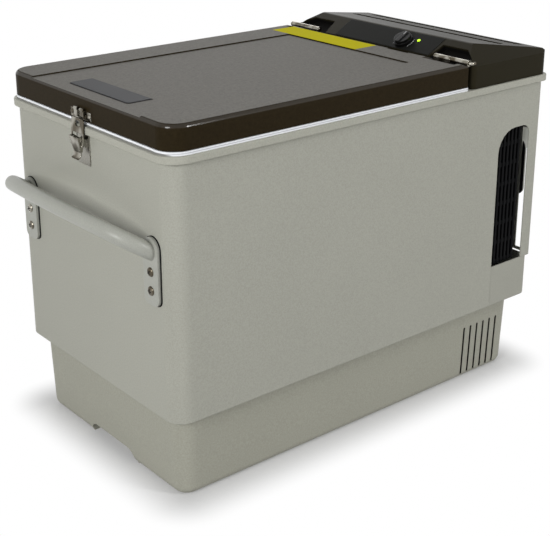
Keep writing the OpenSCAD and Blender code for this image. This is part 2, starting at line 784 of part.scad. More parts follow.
// Round inlet cup that fills its hole in the low panel, with a flange outside
module inlet(y, r, pins) {
    fit = 0.2;
    flange_r = r + 4.5;
    floor_x = low_x1 - 23;
    color(black) {
        difference() {
            union() {
                bar_x(y, inlet_z, r - fit, floor_x - 3, low_x1 + 1);
                bar_x(y, inlet_z, flange_r, low_x1, low_x1 + 2);
            }
            bar_x(y, inlet_z, r - 2.5, floor_x, low_x1 + 3);
        }
        for (p = pins) bar_x(y + p, inlet_z, 1.2, floor_x - 1, floor_x + 13);
    }
}

// Outer form of the control housing, inset by t on every side but the underside
module house_form(t) {
    rear_r = 12;
    bevel = 5;
    tangent = ridge_r * tan((slope_a + top_a) / 2);
    up_slope = [cos(slope_a), sin(slope_a)];
    ridge_c = [ridge_x, ridge_z] - tangent * up_slope + ridge_r * [up_slope[1], -up_slope[0]];
    top = house_shoulder + rim_top - t * 1.2;
    shoulder_a = atan2(house_h - house_shoulder, 32);
    difference() {
        intersection() {
            translate([0, 0, rim_top - t]) linear_extrude(house_h + 5)
                outline(house_x0 + t, house_x1 - t, lid_half - t, house_front_r - t, rear_r - t);
            translate([0, half_w * 2, 0]) rotate([90, 0, 0]) linear_extrude(half_w * 4) polygon(concat([
                [house_x0 + t, rim_top - t], [house_x1 - t, rim_top - t], [house_x1 - t, low_z - bevel - t],
                [house_x1 - bevel - t, low_z + bevel * tan(top_a) - t]],
                arc(ridge_c, ridge_r - t, 90 - top_a, 90 + slope_a),
                [[slope_x0 + t * 1.5, slope_z0 - t * 0.5], [house_x0 + t, slope_z0 - 2 - t * 0.5]]));
        }
        for (m = [0, 1]) mirror([0, m, 0]) translate([house_x0 - 5, -lid_half + t, top])
            rotate([shoulder_a, 0, 0]) block([0, -80, 0], [bay_l + 40, 80, 80]);
    }
}

// Apron that carries the slope down between the hinges
module house_apron() {
    half = pocket_y - 0.5;
    low_s = panel_s - panel_w / 2 - 1;
    low = [slope_x0, slope_z0] + low_s * [cos(slope_a), sin(slope_a)];
    high = [slope_x0, slope_z0] + 6 * [cos(slope_a), sin(slope_a)];
    under_z = low[1] - 3.5;
    translate([0, half, 0]) rotate([90, 0, 0]) linear_extrude(2 * half)
        polygon([low, high, [house_x0 + 4, under_z], [low[0] + 0.5, under_z]]);
}

// Control housing: hollow moulding with hinge pockets, panel recess and two louvred troughs
module control_housing() {
    trough_w = 14;
    recess_w = panel_w + slack;
    recess_l = panel_l + slack;
    trough_l = (louvres - 1) * louvre_pitch + 18;
    color(dark) difference() {
        union() {
            house_form(0);
            house_apron();
        }
        difference() {
            house_form(house_wall);
            for (d = [64, 106]) on_top(d) block([-12, -trough_l / 2 - 6, -7], [12, trough_l / 2 + 6, 20]);
            hinge_pocket(2.5);
        }
        hinge_pocket(0);
        on_slope(panel_s) translate([0, panel_shift, 0])
            block([-recess_w / 2, -recess_l / 2, -panel_t], [recess_w / 2, recess_l / 2, 10]);
        on_slope(knob_s) translate([0, knob_y, -30]) cylinder(r = knob_bore + 2, h = 40);
        for (d = [64, 106]) on_top(d) {
            block([-trough_w / 2, -trough_l / 2 + 7, -2.5], [trough_w / 2, trough_l / 2 - 7, 10]);
            for (s = [-1, 1]) translate([0, s * (trough_l / 2 - 7), -2.5]) cylinder(r = trough_w / 2, h = 12);
            for (i = [0 : louvres - 1]) translate([0, (i - (louvres - 1) / 2) * louvre_pitch, 0])
                block([-5, -louvre_w / 2, -20], [5, louvre_w / 2, 0]);
        }
    }
}

// Six-sided pockets in the slope behind the hinge barrels, grown by t
module hinge_pocket(t) {
    y0 = pocket_y - t;
    y1 = half_w - 9 + t;
    s1 = slope_l * 0.58 + t;
    for (m = [0, 1]) mirror([0, m, 0]) on_slope(0) translate([0, 0, -9 - t]) linear_extrude(20) polygon([
        [-9 - t, -y0], [-9 - t, -y1], [6, -y1 - 2], [s1, 16 - y1], [s1, -y0 - 5]]);
}

// Frame on the sloping front: x up the slope, z out of it
module on_slope(s) {
    translate([slope_x0, 0, slope_z0]) rotate([0, -slope_a, 0]) translate([s, 0, 0]) children();
}

// Frame on the falling top: x down the fall, z out of it
module on_top(d) {
    translate([ridge_x, 0, ridge_z]) rotate([0, top_a, 0]) translate([d, 0, 0]) children();
}

// Black control panel let into the slope
module control_panel() {
    color(black) on_slope(panel_s) difference() {
        translate([0, panel_shift, -panel_t]) linear_extrude(panel_t + 0.4)
            translate([-panel_w / 2, -panel_l / 2]) square([panel_w, panel_l]);
        translate([knob_s - panel_s, knob_y, -5]) cylinder(r = knob_bore + 0.4, h = 10);
        translate([light_s - panel_s, knob_y - light_gap, -5]) cylinder(r = 2.6, h = 10);
    }
}

// Round knob with a low finger bar and its shaft
module control_knob() {
    skirt = 4;
    color(black) on_slope(knob_s) translate([0, knob_y, 0.8]) {
        cylinder(r = knob_r, h = skirt);
        cylinder(r = knob_r - 1.5, h = knob_h - 1.5);
        block([-knob_r + 2.6, -3.2, 1], [knob_r - 2.6, 3.2, knob_h]);
        translate([0, 0, -12]) cylinder(r = knob_bore, h = 13);
    }
}

// Green power light in the panel
module power_light() {
    color("#7fe01a") on_slope(light_s) translate([0, knob_y - light_gap, -panel_t]) {
        cylinder(r = 2.5, h = panel_t + 0.8);
        translate([0, 0, panel_t + 0.8]) cylinder(r = 2, h = 0.5);
    }
}

// Thermostat behind the panel; the knob's shaft ends in it
module thermostat() {
    color("#74777a") on_slope(knob_s) translate([0, knob_y, 0]) difference() {
        union() {
            translate([-10, -18, -24]) cube([30, 36, 14]);
            translate([0, 0, -12]) cylinder(r = knob_bore + 1.5, h = 12 - panel_t);
        }
        translate([0, 0, -16]) cylinder(r = knob_bore + pin_clear, h = 20);
    }
}

// Outer and inner half of a barrel, measured from the cabinet side
function knuckle(inner) = let (y1 = half_w - barrel_end, mid = y1 - barrel_l / 2)
    inner ? [y1 - barrel_l, mid - slack] : [mid + slack, y1];

// Hinge leaf: a rolled barrel half and a plate that stands in the gap against what it is fixed to
module hinge_leaf(inner, x0, x1) {
    y = knuckle(inner);
    inset = inner ? 0 : 6;
    color(steel) for (m = [0, 1]) mirror([0, m, 0]) difference() {
        union() {
            bar_y(axis_x, axis_z, barrel_r, -y[1], -y[0]);
            block([x0, inset - y[1], axis_z - 26], [x1, -y[0], axis_z - 1]);
        }
        bar_y(axis_x, axis_z, pin_r + pin_clear, -y[1] - 1, 1 - y[0]);
    }
}

module hinge_leaves_cabinet() {
    hinge_leaf(false, house_x0 - leaf_t, house_x0);
}

module hinge_leaves_lid() {
    hinge_leaf(true, lid_x1, lid_x1 + leaf_t);
}

// Hinge pins with an outer end that is bent over
module hinge_pins() {
    y1 = half_w - barrel_end + 0.8;
    y0 = half_w - barrel_end - barrel_l - 1;
    bend = pin_r + 1;
    color(steel) for (m = [0, 1]) mirror([0, m, 0]) {
        bar_y(axis_x, axis_z, pin_r, -y1, -y0);
        translate([axis_x + bend, -y1, axis_z]) rotate([0, 0, 180]) rotate_extrude(angle = 90)
            translate([bend, 0]) circle(pin_r);
        translate([axis_x + bend, -y1 - bend, axis_z]) rotate([0, 90, 0]) cylinder(r = pin_r, h = 4);
    }
}

// Holes for the strap screws through a sheet
module strap_holes(x0, x1) {
    for (s = [-1, 1], k = [0, 1])
        bar_x(s * handle_half, strap_screw_z + k * strap_pitch, screw_r + 0.2, x0, x1);
}

// Strap plate outline in the wall's plane
module strap_2d(grow) {
    w = strap_w / 2 + grow;
    low_r = 9;
    translate([0, strap_z1 - strap_w / 2]) circle(w);
    translate([-w, strap_z0 - grow + low_r]) square([2 * w, strap_h - strap_w / 2 - low_r + grow]);
    translate([low_r - w, strap_z0 - grow]) square([2 * (w - low_r), low_r + 1]);
    for (s = [-1, 1]) translate([s * (w - low_r), strap_z0 - grow + low_r]) circle(low_r);
}

// Strap plate of thickness t standing off a wall at x = 0, outwards to -X
module strap_plate(x, t, grow) {
    for (s = [-1, 1]) translate([-x, s * handle_half, 0]) rotate([90, 0, -90])
        linear_extrude(t) strap_2d(grow);
}

// Bowed tube with tight bends, leaning up and welded to two strap plates
module handle_form() {
    face = pad_t + strap_t;
    difference() {
        union() {
            strap_plate(pad_t, strap_t, 0);
            difference() {
                handle_tube(face);
                block([1 - face, -handle_half - 60, 0], [80, handle_half + 60, wall_top]);
            }
        }
        strap_holes(-face - 40, 1);
    }
}

// Tube of the handle: a long bow, two tight bends and straight ends that run on past the strap plate's face
module handle_tube(face) {
    bow_c = [bow_r - handle_d, 0, 0];
    bend_c = bow_c + bow_long * [-cos(bow_a1), sin(bow_a1), 0];
    translate([-face, 0, base_h + handle_z]) rotate([0, handle_lean, 0]) {
        translate(bow_c) rotate([0, 0, 180 - bow_a1]) rotate_extrude(angle = 2 * bow_a1)
            translate([bow_r, 0]) circle(tube_r);
        for (m = [0, 1]) mirror([0, m, 0]) {
            translate(bend_c) rotate([0, 0, 180 - bow_a2]) rotate_extrude(angle = bow_a2 - bow_a1 + 1)
                translate([bend_r, 0]) circle(tube_r - drawn);
            translate(bend_c + bend_r * [-cos(bow_a2), sin(bow_a2), 0]) rotate([0, 90, 90 - bow_a2])
                translate([0, 0, -1]) cylinder(r = tube_r - 2 * drawn, h = 23);
        }
    }
}

module front_handle() {
    color(paint) translate([-half_l, 0, 0]) handle_form();
}

module rear_handle() {
    color(paint) translate([half_l - skin, 0, 0]) mirror([1, 0, 0]) handle_form();
}

// Black pads between the strap plates and the sheet steel
module handle_pads() {
    color(black) for (m = [0, 1]) mirror([m, 0, 0]) translate([m * skin - half_l, 0, 0]) difference() {
        strap_plate(0, pad_t, 0.8);
        strap_holes(-10, 10);
    }
}

// Domed screws through plate, pad and sheet
module handle_screws() {
    head_r = 6;
    head_h = 3;
    color(steel) for (m = [0, 1], s = [-1, 1], k = [0, 1]) mirror([m, 0, 0])
        translate([m * skin - half_l - pad_t - strap_t, s * handle_half, strap_screw_z + k * strap_pitch])
            rotate([0, -90, 0]) {
                rotate_extrude() polygon(concat([[0, 0], [head_r, 0]],
                    [for (i = [1 : 6]) [head_r * cos(i * 15), head_h * sin(i * 15)]]));
                translate([0, 0, -pad_t - strap_t - skin]) cylinder(r = screw_r, h = pad_t + strap_t + skin);
            }
}

// Latch base: a plate on the end wall with two ears for the lever
module latch_base() {
    ear_r = 3.5;
    ear_y = lever_w / 2 - sheet_t - 3 * slack - sheet_t / 2;
    color(steel) difference() {
        union() {
            block([-half_l - plate_t, -latch_w / 2, latch_z0], [-half_l, latch_w / 2, latch_z1]);
            for (s = [-1, 1]) translate([0, s * ear_y + sheet_t / 2, 0]) rotate([90, 0, 0])
                linear_extrude(sheet_t) {
                    translate([pivot_x, pivot_z]) circle(ear_r);
                    polygon([[pivot_x, pivot_z + ear_r], [-half_l, pivot_z - 2], [-half_l, pivot_z - 14],
                        [pivot_x - 3, pivot_z - 2], [pivot_x - 3, pivot_z]]);
                }
        }
        bar_y(pivot_x, pivot_z, pivot_r + pin_clear, -latch_w, latch_w);
    }
}

// Latch lever: a channel that tapers down to a curled finger tip
module latch_lever() {
    out = 5;
    rise = 4;
    curl_r = 7;
    cheek = lever_w / 2;
    low_z1 = latch_z0 + 17.5;
    face_x = pivot_x - out;
    low_x = -half_l - plate_t - 8;
    top_half = cheek + 7 * tan(lever_taper) - 0.1;
    end_half = cheek - 40 * tan(lever_taper) - 0.1;
    color(steel) difference() {
        union() {
            intersection() {
                translate([0, lever_w, 0]) rotate([90, 0, 0]) linear_extrude(2 * lever_w) polygon(concat(
                    [[face_x, pivot_z + rise], [low_x, low_z1]],
                    arc([low_x - curl_r, low_z1 - 1], curl_r, 0, -75),
                    arc([low_x - curl_r, low_z1 - 1], curl_r - sheet_t, -75, 0),
                    [[low_x - sheet_t, low_z1], [face_x - sheet_t, pivot_z + rise]]));
                translate([face_x - 40, 0, pivot_z]) rotate([90, 0, 90]) linear_extrude(80)
                    polygon([[-top_half, 7], [top_half, 7], [end_half, -40], [-end_half, -40]]);
            }
            for (m = [0, 1]) mirror([0, m, 0]) translate([0, cheek, pivot_z]) rotate([90 - lever_taper, 0, 0])
                linear_extrude(sheet_t) translate([0, -pivot_z]) polygon([
                    [face_x - sheet_t / 2, pivot_z + rise], [pivot_x + 1, pivot_z + rise],
                    [pivot_x + 4, pivot_z], [pivot_x + 3, pivot_z - 5], [low_x + 1, low_z1 + 1],
                    [low_x - sheet_t / 2, low_z1 + 1]]);
        }
        bar_y(pivot_x, pivot_z, pivot_r + pin_clear, -lever_w, lever_w);
        for (m = [0, 1]) mirror([0, m, 0])
            bar_y(bail_x, bail_z, stub_r + pin_clear, cheek - sheet_t - 2, cheek + 1);
    }
}

// Pivot pin of the lever, held in the ears
module latch_pins() {
    color(steel) bar_y(pivot_x, pivot_z, pivot_r, -lever_w / 2 - 0.4, lever_w / 2 + 0.4);
}

// Stamped bail: a slotted plate on two arms with pivot stubs into the lever
module latch_bail() {
    lean = 5;
    inner = lever_w / 2 - sheet_t - 0.8;
    plate_z = 15;
    slot_half = 5.5;
    slot_z0 = 23;
    slot_z1 = bail_l - 3;
    slot_r = (slot_z1 - slot_z0) / 2;
    half = bail_half + arm_half;
    color(steel) translate([bail_x, 0, bail_z]) rotate([0, lean, 0]) {
        translate([-sheet_t / 2, 0, 0]) rotate([90, 0, 90]) linear_extrude(sheet_t) difference() {
            union() {
                translate([-half, plate_z]) square([2 * half, bail_l - plate_z - 4]);
                translate([4 - half, bail_l - 6]) square([2 * half - 8, 6]);
                for (s = [-1, 1]) {
                    translate([s * (half - 4), bail_l - 4]) circle(4);
                    translate([s * bail_half - arm_half, 0]) square([2 * arm_half, plate_z + 1]);
                    translate([s * bail_half, 0]) circle(arm_half);
                }
            }
            translate([slot_r - slot_half, slot_z0]) square([2 * (slot_half - slot_r), 2 * slot_r]);
            for (s = [-1, 1]) translate([s * (slot_half - slot_r), slot_z0 + slot_r]) circle(slot_r);
        }
        for (m = [0, 1]) mirror([0, m, 0]) bar_y(0, 0, stub_r, inner, bail_half);
    }
}

// Lid moulding: skirt, rounded upper edge and a sunk top panel that runs out at the latch end
module lid_shell() {
    r = lid_edge_r;
    inner_r = lid_edge_r - lid_wall;
    under_z = lid_z1 - lid_top;
    lap = lid_r - 2 * seam;
    panel_x1 = lid_x1 - lid_panel_back;
    bevel_l = 9;
    bevel_drop = 3;
    color(dark) difference() {
        union() {
            lid_sweep() polygon(concat([[0, lid_z0]], arc([r, lid_z1 - r], r, 180, 90),
                [[lid_r - seam, lid_z1], [lid_r - seam, under_z]],
                arc([lid_wall + inner_r, under_z - inner_r], inner_r, 90, 180, 3), [[lid_wall, lid_z0]]));
            block([lid_x0 + lap, lap - lid_half, under_z], [lid_x1, lid_half - lap, lid_z1]);
            block([lid_x1 - lid_wall, lid_wall - 1 - lid_half, lid_z0],
                [lid_x1, lid_half - lid_wall + 1, under_z + 1]);
            hinge_notch(2.5);
        }
        block([lid_x0 - 1, -lid_panel_half, lid_z1 - lid_sink], [panel_x1, lid_panel_half, lid_z1 + 1]);
        translate([lid_x1 - bevel_l, 0, lid_z1]) rotate([0, atan2(bevel_drop, bevel_l), 0])
            block([0, -cabinet_w, 0], [40, cabinet_w, 10]);
        hinge_notch(0);
        translate([lid_x1, knob_y + knob_notch_shift, 0]) {
            block([-knob_notch, -knob_notch_w / 2, under_z + 1.5], [1, knob_notch_w / 2, lid_z1 + 1]);
            block([-knob_notch / 2, 8 - knob_notch_w / 2, under_z + 0.8],
                [1, knob_notch_w / 2 - 8, lid_z1 + 1]);
        }
    }
}

// Two notches under the hinge barrels: the floor falls to the hinge edge and rises at the inner end
module hinge_notch(t) {
    y0 = half_w - barrel_end - barrel_l - 6 - t;
    y1 = half_w - 9 + t;
    x0 = lid_x1 - notch_l - t;
    for (m = [0, 1]) mirror([0, m, 0]) intersection() {
        rotate([90, 0, 0]) linear_extrude(half_w) polygon([
            [x0, lid_z1 + 1 - t], [x0, lid_z1 - 1 - t], [x0 + 5, lid_z1 - notch_h + 1 - t],
            [lid_x1 + 1 - t, lid_z1 - notch_h - t],
            [lid_x1 + 1 - t, lid_z1 + 1 - t]]);
        translate([x0, 0, 0]) rotate([90, 0, 90]) linear_extrude(notch_l + 5) polygon([
            [-y1, lid_z1 - 12 - t], [-y1, lid_z1 + 1], [-y0, lid_z1 + 1], [-y0, lid_z1],
            [-y0 - 10, lid_z1 - 7 - t], [-y0 - 10, lid_z1 - 12 - t]]);
    }
}

// Carries the lid profile along both long sides and round the latch end
module lid_sweep() {
    for (m = [0, 1]) mirror([0, m, 0]) {
        translate([lid_x0 + lid_r, -lid_half, 0]) rotate([90, 0, 90])
            linear_extrude(lid_x1 - lid_x0 - lid_r) children();
        translate([lid_x0 + lid_r, lid_r - lid_half, 0]) rotate([0, 0, 180]) rotate_extrude(angle = 90)
            translate([lid_r, 0]) mirror([1, 0]) children();
    }
    translate([lid_x0, lid_half - lid_r, 0]) rotate([90, 0, 0])
        linear_extrude(2 * (lid_half - lid_r)) children();
}

// Foam core of the lid
module lid_foam() {
    g = lid_wall + inner_gap;
    z0 = liner_z + tub_wall;
    color("#e3d9b4") translate([0, 0, z0]) linear_extrude(lid_z1 - lid_top - inner_gap - z0)
        outline(lid_x0 + g + 4, lid_x1 - notch_l - 5, lid_half - g - 4, lid_r - g, 2);
}

// White lid liner with the plug that dips into the tub
module lid_liner() {
    g = lid_wall + slack;
    x0 = tub_x0 + tub_wall + plug_gap;
    x1 = tub_x1 - tub_wall - plug_gap;
    half = tub_half - tub_wall - plug_gap;
    r = tub_r - plug_gap;
    edge_r = 6;
    z0 = liner_z - plug_h;
    color(white) {
        translate([0, 0, liner_z]) linear_extrude(tub_wall) difference() {
            outline(lid_x0 + g, lid_x1 - g, lid_half - g, lid_r - g, 2);
            outline(x0 + 1, x1 - 1, half - 1, r - 1, r - 1);
        }
        sweep(x0, x1, half, r, r) polygon(concat(
            [[0, liner_z + tub_wall]], arc([edge_r, z0 + edge_r], edge_r, 180, 270),
            [[r - seam, z0], [r - seam, z0 + tub_wall]],
            arc([edge_r, z0 + edge_r], edge_r - tub_wall, 270, 180), [[tub_wall, liner_z + tub_wall]]));
        lapped_flat(x0, x1, half, r, z0, z0 + tub_wall);
    }
}

// Soft seal under the lid liner, round the mouth of the tub
module lid_gasket() {
    out = 14;
    w = 10;
    z0 = flange_top + slack;
    z1 = liner_z;
    r = 2;
    color("#dfe2e4") sweep(tub_x0 - out, tub_x1 + out, tub_half + out, tub_r + out, tub_r + out)
        polygon(concat([[0, z1]], arc([r, z0 + r], r, 180, 270, 4), arc([w - r, z0 + r], r, 270, 360, 4),
            [[w, z1]]));
}

// Keeper on the lid skirt with a pair of upturned hooks
module latch_keeper() {
    z0 = lid_z0 + 2;
    x1 = lid_x0;
    t = sheet_t;
    hook = 3.2;
    hook_w = 7.5;
    hook_y = 7;
    roll_r = 2.2;
    hook_x = x1 - t - hook;
    hook_z0 = z0 + 2;
    hook_z1 = z0 + 12.5;
    color(steel) difference() {
        union() {
            block([x1 - t, -keeper_half, z0], [x1, keeper_half, z0 + 11]);
            for (s = [-1, 1]) translate([0, s * hook_y + hook_w / 2, 0]) rotate([90, 0, 0])
                linear_extrude(hook_w) {
                    polygon(concat([[x1 - t, hook_z0]], arc([x1 - t, hook_z0 + hook], hook, 270, 180),
                        [[hook_x, hook_z1], [hook_x + t, hook_z1], [hook_x + t, hook_z0 + hook],
                        [x1 - t, hook_z0 + hook]]));
                    translate([hook_x + t, hook_z1]) circle(roll_r);
                }
        }
        for (s = [-1, 1]) bar_x(s * keeper_screw_y, keeper_screw_z, keeper_screw_r + 0.2, x1 - 5, x1 + 1);
    }
}

// Small screws that hold the keeper
module keeper_screws() {
    color(steel) for (s = [-1, 1])
        translate([lid_x0 - sheet_t, s * keeper_screw_y, keeper_screw_z]) rotate([0, -90, 0]) {
            rotate_extrude() polygon([[0, 0], [2.8, 0], [2.4, 1], [1.4, 1.6], [0, 1.8]]);
            translate([0, 0, -sheet_t]) cylinder(r = keeper_screw_r, h = sheet_t);
        }
}

base_tray();
cabinet_wrap();
end_panel();
low_bay_panel();
top_rim();
inner_tub();
evaporator();
insulation_foam();
bulkhead();
side_grilles();
end_grille();
compressor();
compressor_mounts();
condenser();
fan_shroud();
fan_rotor();
filter_drier();
refrigerant_pipes();
power_board();
ac_inlet();
dc_inlet();
control_housing();
control_panel();
control_knob();
power_light();
thermostat();
hinge_leaves_cabinet();
hinge_pins();
front_handle();
rear_handle();
handle_pads();
handle_screws();
latch_base();
latch_lever();
latch_pins();
latch_bail();
lid_shell();
lid_foam();
lid_liner();
lid_gasket();
hinge_leaves_lid();
latch_keeper();
keeper_screws();
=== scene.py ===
import json
import math

import bpy
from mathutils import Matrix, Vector


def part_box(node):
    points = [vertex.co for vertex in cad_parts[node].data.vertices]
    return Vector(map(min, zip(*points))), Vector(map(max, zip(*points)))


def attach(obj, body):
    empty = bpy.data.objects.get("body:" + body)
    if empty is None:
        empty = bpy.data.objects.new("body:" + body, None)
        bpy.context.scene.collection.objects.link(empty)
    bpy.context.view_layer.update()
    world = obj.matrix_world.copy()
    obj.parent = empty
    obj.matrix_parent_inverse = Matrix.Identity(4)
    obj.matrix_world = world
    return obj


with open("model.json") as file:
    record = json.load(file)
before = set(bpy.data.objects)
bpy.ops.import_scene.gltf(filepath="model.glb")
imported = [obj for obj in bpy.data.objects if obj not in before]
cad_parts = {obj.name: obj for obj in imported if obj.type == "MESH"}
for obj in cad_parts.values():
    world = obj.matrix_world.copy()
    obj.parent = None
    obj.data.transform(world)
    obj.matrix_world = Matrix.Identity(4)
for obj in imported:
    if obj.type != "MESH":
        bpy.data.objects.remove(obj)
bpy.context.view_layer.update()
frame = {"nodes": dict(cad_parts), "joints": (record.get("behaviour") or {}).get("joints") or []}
nodes = frame["nodes"]


# Base tray
# A pressed tray with leaning sides carries the whole fridge, and the cabinet stands on its top edge.
# It is sprayed a shade browner than the walls, with the same fine orange-peel grain, and dust gathers
# low down on it. The cooling slots are cut through its sides; their walls are painted near-black: painted
# shade.
class Wire:
    """One output socket of a node tree. Arithmetic on it adds Math nodes."""

    def __init__(self, tree, socket=None):
        self.tree = tree
        self.socket = socket

    def node(self, kind, settings=None, inputs=None, out=0):
        """Adds a node, sets its properties, then fills or links its inputs."""
        made = self.tree.nodes.new("ShaderNode" + kind)
        for name, value in (settings or {}).items():
            setattr(made, name, value)
        for name, value in (inputs or {}).items():
            if isinstance(value, Wire):
                self.tree.links.new(value.socket, made.inputs[name])
            else:
                made.inputs[name].default_value = value
        return Wire(self.tree, made.outputs[out] if made.outputs else None)

    def math(self, operation, first, second=0.0):
        return self.node("Math", {"operation": operation}, {0: first, 1: second})

    def __add__(self, other):
        return self.math("ADD", self, other)

    def __radd__(self, other):
        return self.math("ADD", other, self)

    def __sub__(self, other):
        return self.math("SUBTRACT", self, other)

    def __rsub__(self, other):
        return self.math("SUBTRACT", other, self)

    def __mul__(self, other):
        return self.math("MULTIPLY", self, other)

    def __rmul__(self, other):
        return self.math("MULTIPLY", other, self)

    def __abs__(self):
        return self.math("ABSOLUTE", self)

    def most(self, other):
        """The larger of the two."""
        return self.math("MAXIMUM", self, other)

    def ramp(self, low, high):
        """0 below low, 1 above high, smooth between them."""
        return self.node("MapRange", {"interpolation_type": "SMOOTHSTEP"},
                         {"Value": self, "From Min": low, "From Max": high})

    def between(self, low, high, soft):
        """1 from low to high; each border fades over that width."""
        return self.ramp(low, low + soft) * (1.0 - self.ramp(high, high + soft))

    def noise(self, scale, detail):
        return self.node("TexNoise", None, {"Vector": self, "Scale": scale, "Detail": detail})

    def stretch(self, x, y, z):
        return self.node("Mapping", None, {"Vector": self, "Scale": (x, y, z)})

    def axis(self, name):
        return self.node("SeparateXYZ", None, {0: self}, name)

    def facing(self, name):
        """How squarely the surface faces along an axis, from -1 to 1."""
        return self.node("TexCoord", None, None, "Normal").axis(name)

    def mix(self, low, high):
        """Colour from low to high as this socket goes from 0 to 1."""
        return self.node("Mix", {"data_type": "RGBA"}, {0: self, 6: low, 7: high}, 2)

    def tint(self, colour):
        """That colour, darker or lighter by this socket."""
        settings = {"data_type": "RGBA", "blend_type": "MULTIPLY"}
        return self.node("Mix", settings, {0: 1.0, 6: colour, 7: self}, 2)


def new_material(name):
    """An empty material and its object-space position."""
    material = bpy.data.materials.new(name)
    material.use_nodes = True
    material.node_tree.nodes.clear()
    return material, Wire(material.node_tree).node("TexCoord", None, None, "Object")


edge_softening = 0.0009


def surface(place, colour, rough, height, bump, **sockets):
    """Ends a material in one Principled shader: softened edges and a bump of that depth in metres."""
    eased = place.node("Bevel", {"samples": 4}, {"Radius": edge_softening})
    bumped = {"Strength": 1.0, "Distance": bump, "Height": height, "Normal": eased}
    inputs = {"Base Color": colour, "Roughness": rough, "Normal": place.node("Bump", None, bumped)}
    for name, value in sockets.items():
        inputs["Specular IOR Level" if name == "Specular" else name.replace("_", " ")] = value
    shader = place.node("BsdfPrincipled", None, inputs)
    place.node("OutputMaterial", None, {"Surface": shader})


def wear(node_names, material):
    """Gives every face of the named nodes this material."""
    for name in node_names:
        data = nodes[name].data
        data.materials.clear()
        data.materials.append(material)


dust_colour = (0.42, 0.40, 0.35, 1.0)
dust_height = 0.09
# Near-black that is painted in as shade where no light reaches.
painted_shade_black = (0.0015, 0.0015, 0.0012, 1.0)


def painted(name, colour, rough, grain, shine, painted_shade=None):
    """Baked enamel: broad drift, fine speckle, orange-peel bump, dust low down, painted black shade where
    masked.
    """
    material, place = new_material(name)
    drift = place.noise(7.0, 3.0)
    speck = place.noise(grain, 1.0)
    peel = place.noise(grain * 0.45, 2.0)
    shade = 0.815 + drift * 0.06 + speck * 0.32
    dust = (1.0 - place.axis("Z").ramp(0.0, dust_height)) * place.noise(60.0, 4.0) * 0.12
    tone = dust.mix(shade.tint(colour), dust_colour)
    # Painted shade: where the mask is 1, the colour turns near-black.
    if painted_shade:
        tone = painted_shade(place).mix(tone, painted_shade_black)
    surface(place, tone, rough + drift * 0.08, peel + speck * 0.4, 0.00012, Specular=shine)
    return material


tray_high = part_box("base_tray")[1]
tray_lean = 0.004
slots_from = 0.190
slots_to = 0.280
slots_foot = 0.008


def slot_wall_shade(place):
    """1 on the walls of the cooling slots, just inside the leaning side of the tray, where black shade is
    painted.
    """
    height = place.axis("Z")
    side = tray_high.y - tray_lean + height * (tray_lean / tray_high.z)
    slotted = place.axis("X").between(slots_from, slots_to, 0.002)
    slotted = slotted * height.ramp(slots_foot - 0.0005, slots_foot + 0.0005)
    return slotted * (side - abs(place.axis("Y"))).ramp(0.0008, 0.0014)


wear(["base_tray"], painted("base_enamel", (0.342, 0.340, 0.286, 1.0), 0.44, 480.0, 0.10, slot_wall_shade))


# Cabinet walls
# Folded sheet steel in grey-beige enamel: the wrap round three sides, the rim that caps it, the end panel
# that closes the compressor bay, and the low panel under the vents.
cabinet_enamel = painted("cabinet_enamel", (0.366, 0.366, 0.319, 1.0), 0.40, 640.0, 0.10)
wear(["cabinet_wrap", "end_panel"], cabinet_enamel)
# The rim takes the wall enamel a shade lighter: painted light on its face.
wear(["top_rim"], painted("rim_enamel_painted_light", (0.384, 0.383, 0.331, 1.0), 0.38, 640.0, 0.10))
wear(["low_bay_panel"], painted("bay_enamel", (0.354, 0.353, 0.308, 1.0), 0.42, 640.0, 0.10))


# Tub
# One vacuum-formed white tub, foamed into the cabinet. Its flange lies on the rim and shows as a bright
# line under the lid, with painted shade on it: a grey band round its face, dull grey low at the latch end.
white_tone = (0.86, 0.88, 0.91, 1.0)
# Greys painted on the flange as shade.
low_shade_tone = (0.22, 0.22, 0.21, 1.0)
band_shade_tone = (0.33, 0.33, 0.38, 1.0)
flange_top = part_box("inner_tub")[1].z
flange_thick = 0.0044
low_shade_from = 0.0020
band_shade_from = 0.0011
band_shade_to = 0.0025
edge_blur = 0.0006


def moulded_grain(place, grain, contrast=0.06):
    """Faint flow marks, a fine grain of that contrast, and the shade that both give."""
    flow = place.noise(16.0, 3.0)
    speck = place.noise(grain, 2.0)
    return flow, speck, 0.96 - contrast / 2 + flow * 0.08 + speck * contrast


def tub_material():
    """White plastic, with painted shade on the flange: a grey band, and dull grey low down at the latch end.
    """
    material, place = new_material("tub_plastic")
    flow, speck, shade = moulded_grain(place, 500.0)
    under = flange_top - place.axis("Z")
    flange = 1.0 - under.ramp(flange_thick, flange_thick + edge_blur)
    latch_end = place.facing("X").ramp(-0.6, -0.9)
    # Painted shade: dull grey on the flange's lower part at the latch end, a grey band round the rest.
    low_shade = flange * latch_end * under.ramp(low_shade_from, low_shade_from + 0.0008)
    band_shade = flange * under.between(band_shade_from, band_shade_to, edge_blur) * (1.0 - latch_end)
    tone = low_shade.mix(shade.tint(white_tone), shade.tint(low_shade_tone))
    tone = (band_shade * 0.55).mix(tone, band_shade_tone)
    surface(place, tone, 0.22 + flow * 0.07 + low_shade * 0.2, speck, 0.00003, Specular=0.5)
    return material


wear(["inner_tub"], tub_material())


# Insulation
# Pale foam with open pores, poured between the tub and the walls and into the hollow of the lid.
# It sets in place, sticks to both skins and is hidden by them.
def foam():
    """Pale foam: small cells for the pores, a faint cloudy tone."""
    material, place = new_material("poured_foam")
    pores = place.node("TexVoronoi", None, {"Vector": place, "Scale": 420.0}, "Distance")
    shade = 0.75 + pores * 0.4 + place.noise(30.0, 3.0) * 0.1
    surface(place, shade.tint((0.74, 0.66, 0.42, 1.0)), 0.9 - pores * 0.1, pores, 0.0006, Specular=0.2)
    return material


wear(["insulation_foam", "lid_foam"], foam())


